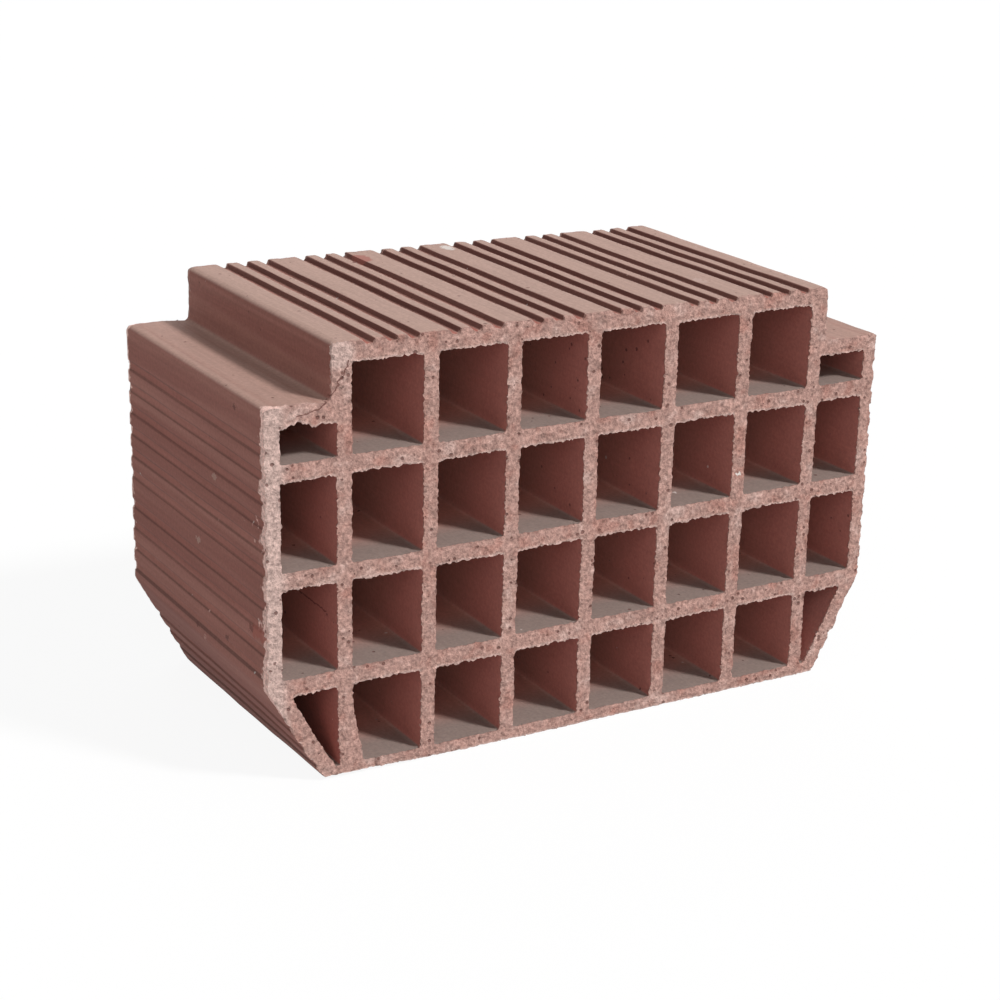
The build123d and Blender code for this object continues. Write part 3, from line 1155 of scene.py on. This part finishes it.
front_crack = crack([(x, -98, z) for x, z in FRONT_CRACK], Vector((1, 0.1, 1)))
web_crack = crack([(WEB_SIDE, y, z) for y, z in WEB_CRACK], Vector((0.1, 1, 1)))
cracks = maths(tree, "MAXIMUM", front_crack, web_crack)
clay_colour = blend(product(tree, cracks, CRACK_SHARE), clay_colour, PIT_AND_SHADOW)
for middle, reach, colour, strength in MARKS:
    here = span(tree, from_middle(middle, reach, rough_at), *MARK_EDGE, 0.0, strength)
    clay_colour = blend(here, clay_colour, colour)
print("marks:", len(MARKS), "and a crack through", len(FRONT_CRACK), "places")

# %% [markdown]
# ## Relief too fine for the mesh
#
# The mesh has a point every millimetre or so, and the clay is rougher than that.
# The rest is bump: grains and pits on the cut, faint streaks on the skin. Fired
# clay is matt all over, and the cut most of all. The relief tree then runs on
# the block with this material, its result becomes a plain mesh, and the finished
# piece rides on the body and stands for the CAD node.

# %% Fine relief of the material
BUMP_DEPTH = 1.0 * MM
SKIN_ROUGH, CUT_ROUGH, GLOSS = 0.78, 0.95, 0.25
CUT_PIT_SINKS, SKIN_PIT_SINKS, STREAK_RISES = -0.7, -0.5, 0.08
CUT_BUMPS_FROM = (0.4, 0.8)

cut_height = maths(tree, "SUBTRACT", maths(tree, "ADD", coarse, grains), 1.0)
cut_height = maths(tree, "MULTIPLY_ADD", cut_pits, CUT_PIT_SINKS, cut_height)
streak_height = product(tree, streaks, STREAK_RISES)
skin_height = maths(tree, "MULTIPLY_ADD", skin_pits, SKIN_PIT_SINKS, streak_height)
height = either(span(tree, kept("torn"), *CUT_BUMPS_FROM), skin_height, cut_height)
bump = place(tree, "ShaderNodeBump", {"Height": height, "Strength": 1.0, "Distance": BUMP_DEPTH})
shader = place(
    tree,
    "ShaderNodeBsdfPrincipled",
    {
        "Base Color": clay_colour,
        "Roughness": span(tree, torn_share, 0.0, 1.0, SKIN_ROUGH, CUT_ROUGH, smooth=False),
        "Normal": bump.outputs[0],
        "Specular IOR Level": GLOSS,
    },
)
place(tree, "ShaderNodeOutputMaterial", {"Surface": shader.outputs[0]})
print("clay material nodes:", len(tree.nodes))


# %% The block, torn
def apply_relief(piece, name, material):
    """Runs the relief tree on a piece and gives back the result as a plain mesh piece."""
    modifier = piece.modifiers.new("relief", "NODES")
    modifier.node_group = relief
    for label, (identifier, value) in relief_sockets.items():
        modifier[identifier] = material if label == "Clay" else value
    evaluated = piece.evaluated_get(bpy.context.evaluated_depsgraph_get())
    mesh = bpy.data.meshes.new_from_object(evaluated)
    mesh.name = name
    piece.modifiers.remove(modifier)
    piece.data = mesh
    piece.name = name
    return piece


block = apply_relief(block, "fired_clay_block", clay)
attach(block, "root")
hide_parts(block_node)
print("block triangles:", sum(len(face.vertices) - 2 for face in block.data.polygons))

# %% [markdown]
# ## Floor, light and camera
#
# The camera sees the floor as a white glow with a little of a diffuse surface in
# it, so that the block's shadow shows faintly. The light that bounces off the floor
# meets only the diffuse surface, so the block isn't flooded from below. The key
# lamp is a sun from the right of the camera, wide enough for the soft edge that
# the shadows inside the cells have. A weak and very wide fill comes from the
# camera's side and reaches down the cells, another wide one comes from behind the
# block, and the world lights the rest evenly. The camera's place, turn and lens
# were worked out from where the corners of the front end are in the photograph.

# %% Floor
FLOOR_HALF = 6.0
FLOOR_GREY = (0.62, 0.62, 0.62, 1)
WHITE = (1, 1, 1, 1)
FLOOR_GLOW = 1.06
FLOOR_SHOWN = 0.86


def seen_directly(tree):
    """1 for what the camera sees, also in gloss and through glass, and 0 for the light."""
    rays = place(tree, "ShaderNodeLightPath").outputs
    seen = maths(tree, "MAXIMUM", rays["Is Camera Ray"], rays["Is Glossy Ray"])
    return maths(tree, "MAXIMUM", seen, rays["Is Transmission Ray"])


floor_mesh = bpy.data.meshes.new("floor")
floor_corners = [(-1, -1), (1, -1), (1, 1), (-1, 1)]
floor_places = [(x * FLOOR_HALF, y * FLOOR_HALF, 0.0) for x, y in floor_corners]
floor_mesh.from_pydata(floor_places, [], [(0, 1, 2, 3)])
floor = add_object("floor", floor_mesh)
floor_material = bpy.data.materials.new("white_floor")
floor_tree = own_tree(floor_material)
glow_share = product(floor_tree, seen_directly(floor_tree), FLOOR_SHOWN)
matt = place(floor_tree, "ShaderNodeBsdfDiffuse", {"Color": FLOOR_GREY}).outputs[0]
white = place(floor_tree, "ShaderNodeEmission", {"Color": WHITE, "Strength": FLOOR_GLOW}).outputs[0]
mixed = place(floor_tree, "ShaderNodeMixShader", {0: glow_share, 1: matt, 2: white})
place(floor_tree, "ShaderNodeOutputMaterial", {"Surface": mixed.outputs[0]})
floor_mesh.materials.append(floor_material)
print("floor, m:", 2 * FLOOR_HALF)

# %% World and lamps
AMBIENT = 0.27
LAMPS = (
    # name, turn from the front and height in degrees, strength, width in degrees
    ("key", 34, 44, 2.9, 9),
    ("fill", -30, 22, 0.7, 50),
    ("back", 150, 24, 0.55, 50),
)

world = bpy.data.worlds.new("studio")
bpy.context.scene.world = world
world_tree = own_tree(world)
level = maths(world_tree, "MULTIPLY_ADD", seen_directly(world_tree), 1.0 - AMBIENT, AMBIENT)
sky = place(world_tree, "ShaderNodeBackground", {"Color": WHITE, "Strength": level})
place(world_tree, "ShaderNodeOutputWorld", {"Surface": sky.outputs[0]})
for name, turn, height, strength, width in LAMPS:
    sun = bpy.data.lights.new(name, "SUN")
    sun.energy = strength
    sun.angle = math.radians(width)
    lamp = add_object(name, sun)
    lamp.rotation_euler = Euler((math.radians(90 - height), 0, math.radians(turn)))
print("lamps:", len(LAMPS))

# %% Camera
CAMERA_AT = (-0.6362, -1.0855, 0.5348)
CAMERA_TURN = math.radians(-30.30)
CAMERA_DOWN = math.radians(18.72)
CAMERA_ROLL = math.radians(1.25)
SENSOR, LENS = 36.0, 78.9  # in mm

camera = add_object("camera", bpy.data.cameras.new("camera"))
camera.data.sensor_width = SENSOR
camera.data.lens = LENS
camera.matrix_world = (
    Matrix.Translation(CAMERA_AT)
    @ Matrix.Rotation(CAMERA_TURN, 4, "Z")
    @ Matrix.Rotation(math.pi / 2 - CAMERA_DOWN, 4, "X")
    @ Matrix.Rotation(CAMERA_ROLL, 4, "Z")
)
bpy.context.scene.camera = camera
bpy.context.scene.view_settings.view_transform = "Standard"
print("camera right:", [round(value, 4) for value in camera.matrix_world.col[0][:3]])
